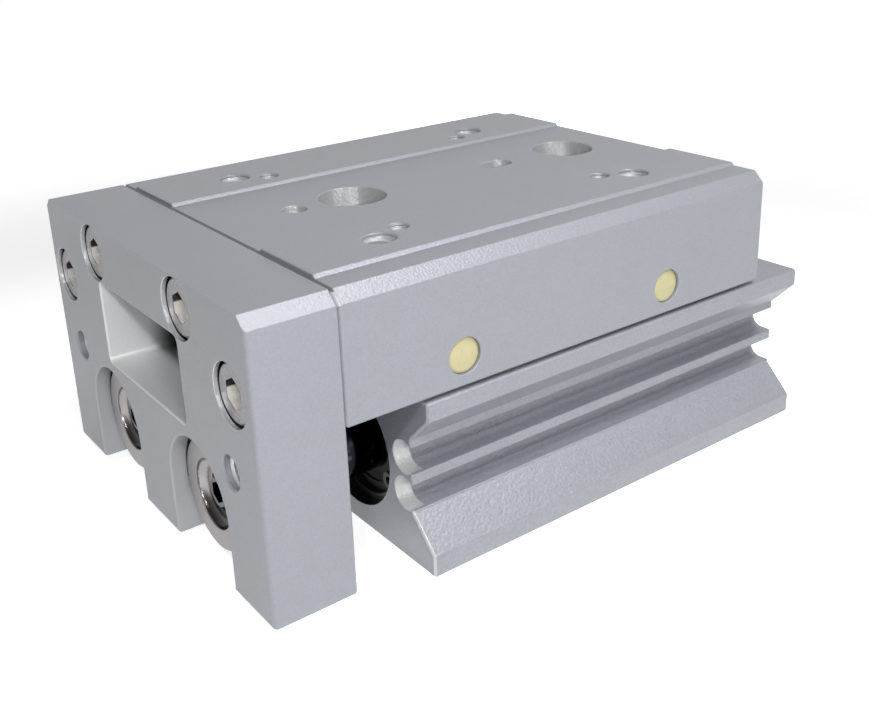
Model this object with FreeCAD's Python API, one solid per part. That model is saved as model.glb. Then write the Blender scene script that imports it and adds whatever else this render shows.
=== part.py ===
"""Twin-rod pneumatic slide table with a crossed-roller guide.

Millimetres. X is the way the table runs out, Y points to the side with the switch grooves (left),
and Z is up. The origin is the middle of the body's underside. The table is drawn run out by its
whole stroke.
"""
import FreeCAD, Part
import math
import os

# Body: an aluminium extrusion with a waist, a top flange and a splayed base
body_length = 80.0
body_height = 27.4
base_width = 71.0
base_edge = 3.5
flange_width = 70.3
flange_edge = 2.8
left_waist = 30.7
right_waist = 33.4
edge_break = 0.3

# Round switch grooves in the left waist
groove_radius = 2.15
groove_depth = 4.0
groove_pitch = 5.9
groove_height = 13.75
groove_mouth = 0.55
groove_mouth_depth = 2.5

# Two cylinders side by side in the body
bore_radius = 10.0
bore_pitch = 30.0
bore_height = 13.4
stroke = 10.0
rod_radius = 5.0

# Threaded air ports in the right waist, with a drilled way across both cylinders
port_radius = 4.28
port_depth = 7.0
port_way_radius = 1.5
front_port_from_front = 16.0
rear_port_from_rear = 23.0

# Holes that bolt the body down, reached through the table drawn in
body_bolt_pitch = 45.0
body_bolt_radius = 3.3
body_bolt_head_radius = 5.5

# Table, an inverted U over the guide block
table_width = 70.0
table_thickness = 10.2
land_height = 0.5
land_inner = 14.3
land_outer = 29.0
top_chamfer = 1.8
skirt_gap = 0.6
channel_width = 47.0
channel_height = 8.6
rear_setback = 0.5
plate_gap = 2.5

# End plate
plate_thickness = 13.0
plate_bottom = 3.2
plate_corner = 0.8
window_width = 28.0
window_height = 13.2
window_drop = 9.1
window_corner = 1.0
slot_clearance = 0.7
slot_depth = 7.0

# Work holes, measured from the table's front end, its top or the middle line
work_thread_radius = 2.1
work_countersink = 0.55
work_thread_depth = 8.0
work_thread_from_front = 15.0
work_thread_pitch_x = 50.0
work_thread_pitch_y = 43.8
dowel_radius = 2.0
dowel_depth = 5.0
dowel_from_front = 14.0
dowel_pitch = 40.0
dowel_slot_length = 6.0
access_from_front = 24.5
plate_thread_pitch = 54.0
plate_thread_drop = 23.8
plate_thread_depth = 10.0

# Socket screws that hold the end plate to the table
plate_screw_radius = 2.5
plate_screw_head_radius = 4.2
plate_screw_head = 5.0
plate_screw_recess = 0.6
plate_screw_grip = 11.0
plate_screw_socket = 4.0
upper_screw_pitch = 30.4
upper_screw_drop = 4.7
outer_screw_pitch = 58.3
outer_screw_drop = 12.0

# Crossed-roller guide
guide_top_gap = 0.6
guide_end_setback = 0.5
roller_radius = 1.5
roller_length = 2.7
roller_pitch = 4.6
roller_clearance = 0.03
rail_gap = 1.0
rail_width = 8.5
rail_height = 8.2
rail_end_setback = 2.0
rail_back_gap = 0.1
cage_thickness = 0.5
cage_height = 6.4
cage_end = 3.2
cage_margin = 3.4
cage_pocket_clearance = 0.12
vee_relief = 0.3

# Screws of the guide
guide_screw_radius = 2.0
guide_screw_head_radius = 3.5
guide_screw_head = 4.0
guide_screw_recess = 0.5
guide_screw_thread = 4.5
guide_screw_socket = 3.0
guide_screw_offset = 6.3
guide_front_screw_inset = 6.5
guide_rear_screw_inset = 5.0
rail_screw_radius = 1.5
rail_screw_head_radius = 2.75
rail_screw_head = 3.0
rail_screw_recess = 0.2
rail_screw_thread = 5.0
rail_screw_socket = 2.5
rail_screw_inset = 4.2
rail_screw_from_front = 20.0
rail_screw_pitch = 40.0
rail_screw_countersink = 0.25
stop_screw_radius = 1.0
stop_screw_head_radius = 2.1
stop_screw_head = 1.2
stop_screw_length = 4.0
stop_screw_slot = 0.5
stop_screw_inset = 1.7

# Preload screws in the left skirt, sealed by cast plugs
preload_radius = 2.5
preload_socket = 2.5
preload_from_front = 19.4
plug_radius = 2.7
plug_length = 3.2
plug_recess = 0.35
plug_dome = 0.2

# Rod covers, head caps and what keeps them in
circlip_setback = 1.8
circlip_thickness = 1.0
circlip_groove_depth = 0.5
circlip_section = 1.9
circlip_gap = 3.4
circlip_lug_radius = 1.45
circlip_lug_hole = 0.7
circlip_turn = -12.0
cover_land = 10.8
cover_nose = 7.7
cover_nose_radius = 7.4
bush_wall = 1.0
bush_length = 9.0
rod_seal_wall = 2.2
rod_seal_depth = 3.6
cap_land = 11.0
cap_nose_radius = 7.0
cap_cup_radius = 6.0
cap_cup_depth = 5.0
bumper_thickness = 1.5
o_ring_radius = 0.9
o_ring_flat = 0.45
cover_o_ring_from_front = 7.0
cap_o_ring_from_step = 3.5

# Pistons
piston_length = 16.0
piston_seal_depth = 2.2
piston_seal_width = 2.6
piston_seal_from_front = 3.0
magnet_depth = 2.6
magnet_width = 4.0
magnet_from_front = 8.0
piston_stud_radius = 2.5
nut_flats = 8.0
nut_thickness = 2.7
nut_pocket_depth = 3.6

# Rod ends, floating in the end plate's slots
neck_radius = 4.0
neck_float = 0.6
rod_end_radius = 8.5
rod_end_thickness = 4.75
rod_end_dish_radius = 5.3
rod_end_dish_depth = 1.3
rod_stud_radius = 3.0
rod_stud_setback = 0.75
rod_stud_chamfer = 0.8
rod_stud_socket = 3.0
socket_depth_share = 0.5

# Clearances
fit = 0.02
running_fit = 0.05
piston_fit = 0.08
play = 0.05
stop_gap = 0.1
screw_clearance = 0.25

# Stations along X
body_front = body_length / 2
body_rear = -body_length / 2
table_front = body_front + plate_gap + stroke
table_rear = body_rear + rear_setback + stroke
plate_front = table_front + plate_thickness
front_circlip = body_front - circlip_setback
rear_circlip = body_rear + circlip_setback
cover_front = front_circlip - circlip_thickness - play
cover_step = cover_front - cover_land
cover_rear = cover_step - cover_nose
piston_front = cover_rear - bumper_thickness - stop_gap
piston_rear = piston_front - piston_length
rear_bumper_front = piston_rear - stroke - stop_gap
cap_front = rear_bumper_front - bumper_thickness
cap_rear = rear_circlip + circlip_thickness + play
cap_step = cap_rear + cap_land
cover_o_ring = cover_front - cover_o_ring_from_front
cap_o_ring = cap_step - cap_o_ring_from_step
rod_shoulder = table_front - play
slot_floor = plate_front - slot_depth
rod_end_back = slot_floor + play
rod_end_front = rod_end_back + rod_end_thickness
access_front = table_front - access_from_front
body_bolts = [access_front - stroke, access_front - stroke - body_bolt_pitch]

# Heights
skirt_bottom = body_height + skirt_gap
channel_ceiling = skirt_bottom + channel_height
table_top = channel_ceiling + table_thickness
land_top = table_top + land_height
guide_top = channel_ceiling - guide_top_gap
roller_height = channel_ceiling - rail_height / 2
window_top = table_top - window_drop

# Half widths and radii
rail_back = channel_width / 2 - rail_back_gap
rail_face = rail_back - rail_width
roller_plane = rail_face - rail_gap / 2
guide_half = roller_plane - rail_gap / 2
rail_screw_line = rail_back - rail_screw_inset
vee_depth = (roller_radius + roller_clearance) * math.sqrt(2) - rail_gap / 2
skirt_face = table_width / 2
plug_foot = skirt_face - plug_recess - plug_length
preload_length = plug_foot - play - rail_back
slot_radius = rod_end_radius + slot_clearance

Vec = FreeCAD.Vector
ALONG_X = Vec(1, 0, 0)
ALONG_Y = Vec(0, 1, 0)
ALONG_Z = Vec(0, 0, 1)
SIDES = (("left", 1), ("right", -1))


def block(x_span, y_span, z_span):
    """Straight block between pairs of x, y and z."""
    size = [span[1] - span[0] for span in (x_span, y_span, z_span)]
    return Part.makeBox(*size, Vec(x_span[0], y_span[0], z_span[0]))


def bar(radius, start, end):
    """Round bar between two points."""
    axis = end - start
    return Part.makeCylinder(radius, axis.Length, start, axis)


def bar_x(radius, x_from, x_to, y, z):
    """Round bar along X."""
    return bar(radius, Vec(x_from, y, z), Vec(x_to, y, z))


def bar_z(radius, x, y, z_from, z_to):
    """Upright round bar."""
    return bar(radius, Vec(x, y, z_from), Vec(x, y, z_to))


def cone(wide, narrow, start, end):
    """Cone that narrows from start to end."""
    axis = end - start
    return Part.makeCone(wide, narrow, axis.Length, start, axis)


def extrude_x(outline, x_from, x_to):
    """Outline of (y, z) points drawn out along X."""
    points = [Vec(x_from, y, z) for y, z in outline]
    face = Part.Face(Part.makePolygon(points + points[:1]))
    return face.extrude(Vec(x_to - x_from, 0, 0))


def turn_x(outline, y, z):
    """Outline of (x, radius) points turned about the line along X through y and z."""
    points = [Vec(x, y, z + radius) for x, radius in outline]
    face = Part.Face(Part.makePolygon(points + points[:1]))
    return face.revolve(Vec(0, y, z), ALONG_X, 360)


def ring_x(inner, outer, x_from, x_to, y, z):
    """Plain ring about a line along X."""
    return bar_x(outer, x_from, x_to, y, z).cut(bar_x(inner, x_from, x_to, y, z))


def mirrored(outline):
    """Half outline on the +Y side, closed by its mirror image."""
    return outline + [(-y, z) for y, z in reversed(outline)]


def break_end(solid, x, size):
    """Chamfer every edge that lies in the plane at x."""
    edges = [edge for edge in solid.Edges if all(abs(v.X - x) < 1e-6 for v in edge.Vertexes)]
    return solid.makeChamfer(size, edges)


def stand_on(shape, origin, outward):
    """Move a shape built about +Z so that it stands at origin and points outward."""
    turn = FreeCAD.Rotation(ALONG_Z, outward)
    shape.Placement = FreeCAD.Placement(origin, turn)
    return shape


def hexagon(flats, length):
    """Hexagonal bar from z = 0 up."""
    corner = flats / math.sqrt(3)
    turns = [k * math.pi / 3 for k in range(6)]
    points = [Vec(corner * math.cos(turn), corner * math.sin(turn), 0) for turn in turns]
    return Part.Face(Part.makePolygon(points + points[:1])).extrude(Vec(0, 0, length))


def cap_screw(shank, length, head_radius, head, socket, seat, outward):
    """Socket-head screw whose head sits on the point seat and faces outward."""
    rim = edge_break
    screw = bar_z(head_radius, 0, 0, 0, head - rim)
    screw = screw.fuse(Part.makeCone(head_radius, head_radius - rim, rim, Vec(0, 0, head - rim)))
    screw = screw.fuse(bar_z(shank, 0, 0, -length, 0))
    pocket = hexagon(socket, head)
    pocket.translate(Vec(0, 0, head * socket_depth_share))
    return stand_on(screw.cut(pocket).removeSplitter(), seat, outward)


def bore_line(side):
    """Y of a cylinder's axis."""
    return side * bore_pitch / 2


# Cylinder body


def body_outline():
    """Section of the extrusion, anticlockwise from the right foot."""
    base = base_width / 2
    flange = flange_width / 2
    flange_foot = body_height - flange_edge

    def side(waist):
        return [
            (base - edge_break, 0.0),
            (base, edge_break),
            (base, base_edge),
            (waist, base_edge + base - waist),
            (waist, flange_foot - (flange - waist)),
            (flange, flange_foot),
            (flange, body_height - edge_break),
            (flange - edge_break, body_height),
        ]

    left = side(left_waist)
    right = [(-y, z) for y, z in reversed(side(right_waist))]
    return left + right


def switch_groove(z):
    """Round-bottomed groove in the left waist with a flared mouth at the front end."""
    y = left_waist - groove_depth + groove_radius
    groove = bar_x(groove_radius, body_rear, body_front, y, z)
    throat = block((body_rear, body_front), (y, base_width / 2), (z - groove_radius, z + groove_radius))
    mouth = cone(groove_radius + groove_mouth, groove_radius, Vec(body_front, y, z),
                 Vec(body_front - groove_mouth_depth, y, z))
    return groove.fuse([throat, mouth])


def cylinder_bore(y):
    """Bore right through the body, with a circlip groove near each end."""
    clip_radius = bore_radius + circlip_groove_depth
    width = circlip_thickness + play
    bore = bar_x(bore_radius, body_rear, body_front, y, bore_height)
    front = bar_x(clip_radius, front_circlip - width, front_circlip + play, y, bore_height)
    rear = bar_x(clip_radius, rear_circlip - play, rear_circlip + width, y, bore_height)
    return bore.fuse([front, rear])


def air_port(x):
    """Threaded port in the right waist and the drilled way to both cylinders."""
    wall = -right_waist
    thread = bar(port_radius, Vec(x, wall, bore_height), Vec(x, wall + port_depth, bore_height))
    across = bore_line(1) - bore_radius / 2
    way = bar(port_way_radius, Vec(x, wall, bore_height), Vec(x, across, bore_height))
    return thread.fuse(way)


def guide_screw_places():
    """X and y of the screws that hold the guide block."""
    front = body_front - guide_end_setback - guide_front_screw_inset
    rear = body_rear + guide_end_setback + guide_rear_screw_inset
    middle = sum(body_bolts) / 2
    pairs = [(x, side * guide_screw_offset) for x in (front, rear) for _, side in SIDES]
    return pairs + [(middle, 0.0)]


def make_body():
    solid = extrude_x(body_outline(), body_rear, body_front)
    solid = break_end(solid, body_front, edge_break)
    solid = break_end(solid, body_rear, edge_break)
    cuts = [switch_groove(groove_height + k * groove_pitch / 2) for k in (1, -1)]
    cuts += [cylinder_bore(bore_line(side)) for _, side in SIDES]
    cuts += [air_port(body_front - front_port_from_front), air_port(body_rear + rear_port_from_rear)]
    cuts += [bar_z(body_bolt_radius, x, 0, 0, body_height) for x in body_bolts]
    thread_end = body_height - guide_screw_thread - screw_clearance
    cuts += [bar_z(guide_screw_radius + fit, x, y, thread_end, body_height)
             for x, y in guide_screw_places()]
    return solid.cut(cuts)


# Crossed-roller guide


def vee_outline(face, side):
    """Points of a right-angled groove with a relief slot at its root, cut into a face at y, upwards."""
    relief_mouth = face - side * (vee_depth - vee_relief)
    relief_floor = face - side * (vee_depth + vee_relief)
    return [
        (face, roller_height - vee_depth),
        (relief_mouth, roller_height - vee_relief),
        (relief_floor, roller_height - vee_relief),
        (relief_floor, roller_height + vee_relief),
        (relief_mouth, roller_height + vee_relief),
        (face, roller_height + vee_depth),
    ]


def make_guide_block():
    half = [(guide_half, body_height)] + vee_outline(guide_half, 1)
    half += [(guide_half, guide_top - edge_break), (guide_half - edge_break, guide_top)]
    solid = extrude_x(mirrored(half), body_rear + guide_end_setback, body_front - guide_end_setback)
    cuts = [bar_z(body_bolt_head_radius, x, 0, body_height, guide_top) for x in body_bolts]
    head_seat = guide_top - guide_screw_head - guide_screw_recess
    for x, y in guide_screw_places():
        cuts.append(bar_z(guide_screw_radius + screw_clearance, x, y, body_height, guide_top))
        cuts.append(bar_z(guide_screw_head_radius + screw_clearance, x, y, head_seat, guide_top))
    return solid.cut(cuts)


def make_guide_block_screws():
    head_seat = guide_top - guide_screw_head - guide_screw_recess
    length = head_seat - body_height + guide_screw_thread
    return [cap_screw(guide_screw_radius, length, guide_screw_head_radius, guide_screw_head,
                      guide_screw_socket, Vec(x, y, head_seat), ALONG_Z) for x, y in guide_screw_places()]


def rail_screw_places():
    """X of the screws that hold a rail to the table."""
    first = table_front - rail_screw_from_front
    return [first, first - rail_screw_pitch]


def rail_ends():
    return table_rear + rail_end_setback, table_front - rail_end_setback


def rail_head_seat():
    return channel_ceiling - rail_height + rail_screw_head + rail_screw_recess


def make_rail(side):
    bottom = channel_ceiling - rail_height
    outline = [(side * rail_back, bottom), (side * rail_back, channel_ceiling)]
    outline += [(side * rail_face, channel_ceiling)]
    outline += list(reversed(vee_outline(side * rail_face, -side)))
    outline += [(side * rail_face, bottom)]
    rear, front = rail_ends()
    solid = extrude_x(outline, rear, front)
    cuts = []
    y = side * rail_screw_line
    for x in rail_screw_places():
        cuts.append(bar_z(rail_screw_radius + screw_clearance, x, y, bottom, channel_ceiling))
        cuts.append(bar_z(rail_screw_head_radius + screw_clearance, x, y, bottom, rail_head_seat()))
    for x, way in ((front, -1), (rear, 1)):
        tip = x + way * (stop_screw_length + screw_clearance)
        cuts.append(bar_x(stop_screw_radius + fit, x, tip, side * stop_screw_line(), roller_height))
    return solid.cut(cuts)


def make_rail_screws():
    length = channel_ceiling - rail_head_seat() + rail_screw_thread
    return [cap_screw(rail_screw_radius, length, rail_screw_head_radius, rail_screw_head, rail_screw_socket,
                      Vec(x, side * rail_screw_line, rail_head_seat()), -ALONG_Z)
            for _, side in SIDES for x in rail_screw_places()]


def stop_screw_line():
    """Half width of the screws that stop the cages, just behind the root of the rail's groove."""
    return rail_face + vee_depth + stop_screw_inset


def make_cage_stop_screws():
    screws = []
    rear, front = rail_ends()
    for _, side in SIDES:
        for x, outward in ((front, ALONG_X), (rear, -ALONG_X)):
            screw = bar_z(stop_screw_head_radius, 0, 0, 0, stop_screw_head)
            screw = screw.fuse(bar_z(stop_screw_radius, 0, 0, -stop_screw_length, 0))
            slot_half = stop_screw_slot / 2
            slot = block((-slot_half, slot_half), (-stop_screw_head_radius, stop_screw_head_radius),
                         (stop_screw_head - stop_screw_slot, stop_screw_head))
            place = Vec(x, side * stop_screw_line(), roller_height)
            screws.append(stand_on(screw.cut(slot), place, outward))
    return screws


def roller_stations():
    """X of the rollers, as many as fit the stretch where rail and guide block overlap."""
    rail_tail = rail_ends()[0]
    guide_nose = body_front - guide_end_setback
    room = guide_nose - rail_tail - 2 * (cage_margin + cage_end + roller_radius)
    spaces = int(room / roller_pitch)
    first = (rail_tail + guide_nose - spaces * roller_pitch) / 2
    return [first + k * roller_pitch for k in range(spaces + 1)]


def make_rollers(side):
    """Rollers with their axes crossed by turns."""
    rollers = []
    for k, x in enumerate(roller_stations()):
        axis = Vec(0, 1, 1 if k % 2 else -1).normalize()
        centre = Vec(x, side * roller_plane, roller_height)
        reach = axis * (roller_length / 2)
        rollers.append(bar(roller_radius, centre - reach, centre + reach))
    return rollers


def make_cage(side):
    """Thin strip between rail and guide block with a window for each roller."""
    stations = roller_stations()
    span = (stations[0] - roller_radius - cage_end, stations[-1] + roller_radius + cage_end)
    y = side * roller_plane
    thickness = (y - cage_thickness / 2, y + cage_thickness / 2)
    strip = block(span, thickness, (roller_height - cage_height / 2, roller_height + cage_height / 2))
    half_x = roller_radius + cage_pocket_clearance
    half_z = roller_length / math.sqrt(2) + cage_thickness / 2 + cage_pocket_clearance
    height = (roller_height - half_z, roller_height + half_z)
    return strip.cut([block((x - half_x, x + half_x), thickness, height) for x in stations])


# Table and end plate


def upper_outline():
    """Upper half outline shared by the table and the end plate, from the side up to the top."""
    return [(skirt_face, table_top - top_chamfer), (skirt_face - top_chamfer, table_top)]


def table_outline():
    channel = channel_width / 2
    skirt = [(channel, channel_ceiling), (channel, skirt_bottom)]
    skirt += [(skirt_face - edge_break, skirt_bottom), (skirt_face, skirt_bottom + edge_break)]
    return mirrored(skirt + upper_outline())


def land_outline(side):
    """Raised flat with sloping edges."""
    foot = table_top - land_height
    return [
        (side * land_inner, foot),
        (side * land_outer, foot),
        (side * land_outer, table_top),
        (side * (land_outer - land_height), land_top),
        (side * (land_inner + land_height), land_top),
        (side * land_inner, table_top),
    ]


def countersunk_hole(radius, flare, depth, mouth, inward):
    """Blind hole with a 45-degree flare at its mouth."""
    hole = bar(radius, mouth, mouth + inward * depth)
    return hole.fuse(cone(radius + flare, radius, mouth, mouth + inward * flare))


def work_thread_places():
    first = table_front - work_thread_from_front
    return [(x, side * work_thread_pitch_y / 2)
            for x in (first, first - work_thread_pitch_x) for _, side in SIDES]


def preload_places():
    """X of the preload screws: one over each rail screw, a little nearer the front."""
    first = table_front - preload_from_front
    return [first, first - rail_screw_pitch]


def plate_screw_places():
    """Y and z of the screws through the end plate."""
    upper = [(side * upper_screw_pitch / 2, table_top - upper_screw_drop) for _, side in SIDES]
    outer = [(side * outer_screw_pitch / 2, table_top - outer_screw_drop) for _, side in SIDES]
    return upper + outer


def dowel_holes():
    """Round dowel hole in front and a slotted one behind it."""
    front = table_front - dowel_from_front
    rear = front - dowel_pitch
    span = (table_top - dowel_depth, land_top)
    straight = (dowel_slot_length - 2 * dowel_radius) / 2
    holes = [bar_z(dowel_radius, x, 0, *span) for x in (front, rear - straight, rear + straight)]
    holes.append(block((rear - straight, rear + straight), (-dowel_radius, dowel_radius), span))
    return holes


def make_table():
    solid = extrude_x(table_outline(), table_rear, table_front)
    solid = break_end(solid, table_rear, edge_break)
    solid = break_end(solid, table_front, edge_break)
    land_span = (table_rear + edge_break, table_front - edge_break)
    lands = [extrude_x(land_outline(side), *land_span) for _, side in SIDES]
    solid = solid.fuse(lands).removeSplitter()
    cuts = [bar_z(body_bolt_head_radius, x, 0, channel_ceiling, land_top)
            for x in (access_front, access_front - body_bolt_pitch)]
    for x, y in work_thread_places():
        mouth = Vec(x, y, land_top)
        hole = countersunk_hole(work_thread_radius, work_countersink, work_thread_depth, mouth, -ALONG_Z)
        cuts.append(hole)
    cuts += dowel_holes()
    thread = rail_screw_radius + fit
    through = land_top - channel_ceiling
    for _, side in SIDES:
        for x in rail_screw_places():
            mouth = Vec(x, side * rail_screw_line, land_top)
            cuts.append(countersunk_hole(thread, rail_screw_countersink, through, mouth, -ALONG_Z))
    thread_end = table_front - plate_screw_grip - screw_clearance
    thread = plate_screw_radius + fit
    cuts += [bar_x(thread, thread_end, table_front, y, z) for y, z in plate_screw_places()]
    for x in preload_places():
        inner = Vec(x, channel_width / 2 - play, roller_height)
        outer = Vec(x, skirt_face, roller_height)
        cuts.append(bar(preload_radius + fit, inner, outer))
        cuts.append(bar(plug_radius + fit, Vec(x, plug_foot, roller_height), outer))
    return solid.cut(cuts)


def make_preload_screws():
    """Headless socket screws that press the left rail inwards."""
    screws = []
    for x in preload_places():
        screw = bar_z(preload_radius, 0, 0, 0, preload_length - edge_break)
        tip = Part.makeCone(preload_radius, preload_radius - edge_break, edge_break,
                            Vec(0, 0, preload_length - edge_break))
        pocket = hexagon(preload_socket, preload_length)
        pocket.translate(Vec(0, 0, preload_length * socket_depth_share))
        screw = screw.fuse(tip).cut(pocket)
        screws.append(stand_on(screw, Vec(x, rail_back, roller_height), ALONG_Y))
    return screws


def make_preload_plugs():
    """Cast sealing plugs over the preload screws, a little below the skirt and slightly domed."""
    plugs = []
    shoulder = plug_length - plug_dome
    for x in preload_places():
        plug = bar_z(plug_radius, 0, 0, 0, shoulder)
        dome = Part.makeCone(plug_radius, plug_radius - 2 * plug_dome, plug_dome, Vec(0, 0, shoulder))
        plugs.append(stand_on(plug.fuse(dome), Vec(x, plug_foot, roller_height), ALONG_Y))
    return plugs


def rod_slot(radius, x_from, x_to, y):
    """Arched slot open at the plate's lower edge."""
    arch = bar_x(radius, x_from, x_to, y, bore_height)
    legs = block((x_from, x_to), (y - radius, y + radius), (plate_bottom - radius, bore_height))
    return arch.fuse(legs)


def plate_corner_edges(solid):
    """Upright edges at the plate's front corners."""
    def at_corner(vertex):
        return abs(vertex.X - plate_front) < 1e-6 and abs(abs(vertex.Y) - skirt_face) < 1e-6

    return [edge for edge in solid.Edges if all(at_corner(vertex) for vertex in edge.Vertexes)]


def plate_window():
    """Opening through the plate with rounded corners."""
    opening = block((table_front, plate_front), (-window_width / 2, window_width / 2),
                    (window_top - window_height, window_top))
    corners = [edge for edge in opening.Edges if abs(edge.Length - plate_thickness) < 1e-6
               and abs(edge.Vertexes[0].X - edge.Vertexes[1].X) > 1e-6]
    return opening.makeFillet(window_corner, corners)


def make_end_plate():
    outline = mirrored([(skirt_face, plate_bottom)] + upper_outline())
    solid = extrude_x(outline, table_front, plate_front)
    solid = break_end(solid, table_front, edge_break)
    solid = solid.makeFillet(plate_corner, plate_corner_edges(solid))
    cuts = [plate_window()]
    for _, side in SIDES:
        y = bore_line(side)
        cuts.append(rod_slot(slot_radius, slot_floor, plate_front, y))
        cuts.append(rod_slot(neck_radius + neck_float, table_front, slot_floor, y))
        mouth = Vec(plate_front, side * plate_thread_pitch / 2, table_top - plate_thread_drop)
        hole = countersunk_hole(work_thread_radius, work_countersink, plate_thread_depth, mouth, -ALONG_X)
        cuts.append(hole)
    head_seat = plate_front - plate_screw_head - plate_screw_recess
    for y, z in plate_screw_places():
        cuts.append(bar_x(plate_screw_radius + screw_clearance, table_front, plate_front, y, z))
        cuts.append(bar_x(plate_screw_head_radius + screw_clearance, head_seat, plate_front, y, z))
    return solid.cut(cuts)


def make_end_plate_screws():
    head_seat = plate_front - plate_screw_head - plate_screw_recess
    length = head_seat - table_front + plate_screw_grip
    return [cap_screw(plate_screw_radius, length, plate_screw_head_radius, plate_screw_head,
                      plate_screw_socket, Vec(head_seat, y, z), ALONG_X) for y, z in plate_screw_places()]


# What each cylinder holds


def cover_bush_radius():
    return rod_radius + running_fit + bush_wall


def rod_seal_radius():
    return rod_radius + running_fit + rod_seal_wall


def o_ring_line():
    """Radius of the middle of an O-ring's cord that meets the bore."""
    return bore_radius - fit - o_ring_radius


def o_ring_groove(x):
    """Groove for an O-ring, as an outline of (x, radius) points going backwards."""
    top = bore_radius - fit
    floor = o_ring_line() - o_ring_radius - fit
    half = o_ring_radius + running_fit
    return [(x + half, top), (x + half, floor), (x - half, floor), (x - half, top)]


def make_rod_cover(y):
    top = bore_radius - fit
    shaft = rod_radius + screw_clearance
    bush = cover_bush_radius() + fit
    bush_front = cover_front - rod_seal_depth
    outline = [(cover_front - edge_break, top)] + o_ring_groove(cover_o_ring)
    outline += [(cover_step, top), (cover_step, cover_nose_radius), (cover_rear, cover_nose_radius)]
    outline += [(cover_rear, shaft), (bush_front - bush_length, shaft), (bush_front - bush_length, bush)]
    outline += [(bush_front, bush), (bush_front, rod_seal_radius() + fit)]
    outline += [(cover_front, rod_seal_radius() + fit), (cover_front, top - edge_break)]
    return turn_x(outline, y, bore_height)


def make_rod_bush(y):
    front = cover_front - rod_seal_depth
    back = front - bush_length + play
    return ring_x(rod_radius + running_fit, cover_bush_radius(), back, front, y, bore_height)


def make_rod_seal(y):
    """Wiper seal with a dished front."""
    inner = rod_radius + running_fit
    outer = rod_seal_radius()
    back = cover_front - rod_seal_depth + play
    middle = (inner + outer) / 2
    outline = [(back, inner), (cover_front - edge_break, inner), (cover_front - 2 * edge_break, middle),
               (cover_front - edge_break, outer), (back, outer)]
    return turn_x(outline, y, bore_height)


def make_o_ring(x, y):
    """O-ring squeezed flat against the bore and the floor of its groove."""
    line = o_ring_line()
    outer = line + o_ring_radius
    inner = line - o_ring_radius
    outline = [(x + o_ring_flat, outer), (x + o_ring_radius, line), (x + o_ring_flat, inner)]
    outline += [(x - o_ring_flat, inner), (x - o_ring_radius, line), (x - o_ring_flat, outer)]
    return turn_x(outline, y, bore_height)


def make_circlip(x, y):
    """Internal retaining ring from x backwards, its two lugs turned down from the left."""
    outer = bore_radius + circlip_groove_depth - running_fit
    inner = outer - circlip_section
    inner_shift = circlip_section / 4
    x_span = (x - circlip_thickness, x)
    ring = bar_x(outer, *x_span, y, bore_height)
    lug_line = inner - inner_shift
    lug_turn = math.atan2(circlip_gap / 2 + circlip_lug_radius, lug_line)
    lug_places = [(y + lug_line * math.cos(turn), bore_height + lug_line * math.sin(turn))
                  for turn in (lug_turn, -lug_turn)]
    ring = ring.cut(bar_x(inner, *x_span, y + inner_shift, bore_height))
    ring = ring.fuse([bar_x(circlip_lug_radius, *x_span, *place) for place in lug_places])
    cuts = [bar_x(circlip_lug_hole, *x_span, *place) for place in lug_places]
    half_gap = circlip_gap / 2
    cuts.append(block(x_span, (y, y + outer), (bore_height - half_gap, bore_height + half_gap)))
    ring = ring.cut(cuts).removeSplitter()
    ring.rotate(Vec(x, y, bore_height), ALONG_X, circlip_turn)
    return ring


def make_front_bumper(y):
    back = cover_rear - bumper_thickness
    return ring_x(rod_radius + screw_clearance, cover_nose_radius, back, cover_rear, y, bore_height)


def make_rear_bumper(y):
    return bar_x(cap_nose_radius, rear_bumper_front - bumper_thickness, rear_bumper_front, y, bore_height)


def make_head_cap(y):
    """Plug that closes the rear of a cylinder, with a long nose as the piston's stop."""
    top = bore_radius - fit
    outline = [(cap_front, 0.0), (cap_front, cap_nose_radius), (cap_step, cap_nose_radius), (cap_step, top)]
    outline += o_ring_groove(cap_o_ring)
    outline += [(cap_rear + edge_break, top), (cap_rear, top - edge_break)]
    outline += [(cap_rear, cap_cup_radius), (cap_rear + cap_cup_depth, cap_cup_radius - edge_break)]
    outline += [(cap_rear + cap_cup_depth, 0.0)]
    return turn_x(outline, y, bore_height)


def piston_groove(from_front, width, depth):
    """Square groove in a piston, as an outline of (x, radius) points going backwards."""
    top = bore_radius - piston_fit
    front = piston_front - from_front
    return [(front, top), (front, top - depth), (front - width, top - depth), (front - width, top)]


def make_piston(y):
    top = bore_radius - piston_fit
    stud = piston_stud_radius + fit
    pocket = nut_flats / math.sqrt(3) + screw_clearance
    floor = piston_rear + nut_pocket_depth
    outline = [(piston_front, stud), (piston_front, top)]
    outline += piston_groove(piston_seal_from_front, piston_seal_width, piston_seal_depth)
    outline += piston_groove(magnet_from_front, magnet_width, magnet_depth)
    outline += [(piston_rear, top), (piston_rear, pocket), (floor, pocket), (floor, stud)]
    return turn_x(outline, y, bore_height)


def make_piston_seal(y):
    """Lip seal with a hollow outer face."""
    outer = bore_radius - running_fit
    inner = bore_radius - piston_fit - piston_seal_depth + fit
    front = piston_front - piston_seal_from_front - play
    back = front - piston_seal_width + 2 * play
    middle = (front + back) / 2
    outline = [(front, inner), (front, outer), (middle, outer - edge_break), (back, outer), (back, inner)]
    return turn_x(outline, y, bore_height)


def make_piston_magnet(y):
    outer = bore_radius - piston_fit - screw_clearance
    inner = bore_radius - piston_fit - magnet_depth + fit
    front = piston_front - magnet_from_front - play
    return ring_x(inner, outer, front - magnet_width + 2 * play, front, y, bore_height)


def make_piston_nut(y):
    nut = hexagon(nut_flats, nut_thickness)
    nut = nut.cut(bar_z(piston_stud_radius + fit, 0, 0, 0, nut_thickness))
    return stand_on(nut, Vec(piston_rear + nut_pocket_depth, y, bore_height), -ALONG_X)


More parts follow.
